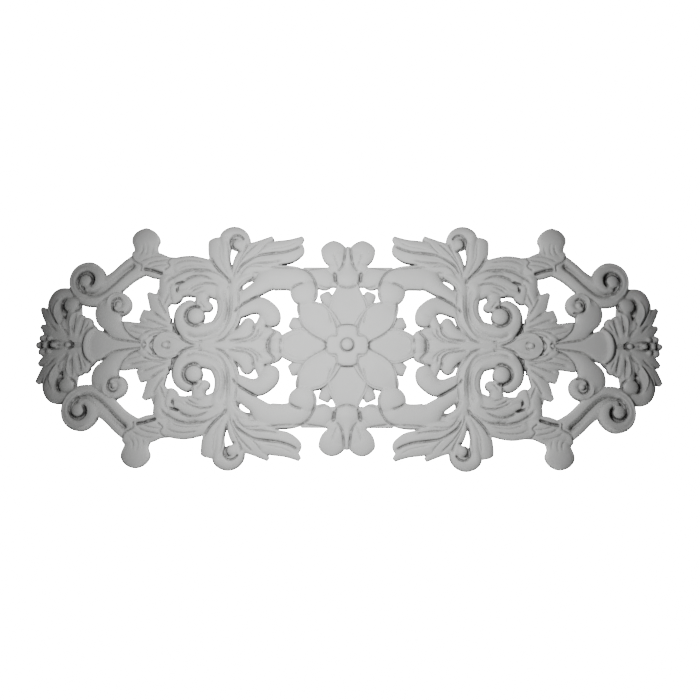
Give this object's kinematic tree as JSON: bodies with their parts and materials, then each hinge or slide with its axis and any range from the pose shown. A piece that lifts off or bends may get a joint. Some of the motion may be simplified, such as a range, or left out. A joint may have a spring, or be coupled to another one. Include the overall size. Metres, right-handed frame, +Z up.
{
  "type": "carved applique",
  "caption": "Pierced scrollwork and leaf panel with a petalled rosette at its middle, cast in one flat-backed piece to fix on a wall, door or cabinet.",
  "frame": {"origin": "middle of the flat back, behind the rosette's button", "axes": "+X along the panel's width, +Y into the wall it is fixed to, +Z up its height; the carving faces -Y"},
  "size_m": [0.9148, 0.0244, 0.362],
  "materials": {
    "primed_casting": "factory-primed white, matte"
  },
  "bodies": {
    "root": {"applique": "primed_casting"}
  },
  "joints": []
}
